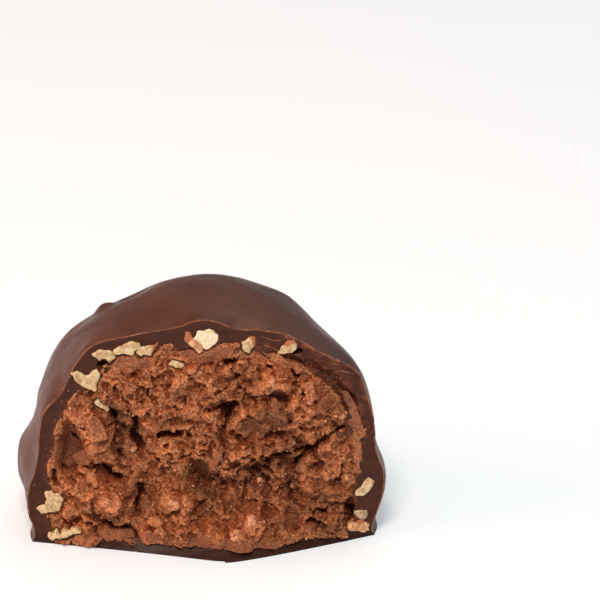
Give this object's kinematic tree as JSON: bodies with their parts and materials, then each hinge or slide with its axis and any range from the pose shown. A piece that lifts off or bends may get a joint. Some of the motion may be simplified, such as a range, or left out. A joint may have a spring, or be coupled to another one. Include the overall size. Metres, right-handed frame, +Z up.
{
  "type": "cut chocolate nut cluster",
  "caption": "Cut piece of a domed dark chocolate praline with chopped hazelnuts in its wall and a crumbly cocoa nut filling.",
  "frame": {"origin": "where the dome's own upright axis meets the flat base", "axes": "+Z up out of the base, +X to the right across the cut, and the cut face looks along -Y"},
  "size_m": [0.043, 0.0342, 0.0287],
  "materials": {
    "chocolate": "dark chocolate coating, poured and set, satin",
    "filling": "crumbly cocoa and hazelnut cream, torn, matt",
    "nut": "chopped roasted hazelnut, cut, matt"
  },
  "bodies": {
    "root": {"shell": "chocolate", "filling": "filling", "nut_crown": "nut", "nut_crown_skin": "nut", "nut_crown_right": "nut", "nut_right_shoulder": "nut", "nut_chain_left": "nut", "nut_chain_middle": "nut", "nut_chain_right": "nut", "nut_left_shoulder": "nut", "nut_left_sliver": "nut", "nut_left_low": "nut", "nut_left_corner": "nut", "nut_filling_sliver": "nut", "nut_right_high": "nut", "nut_right_dot": "nut", "nut_right_low": "nut"}
  },
  "joints": []
}
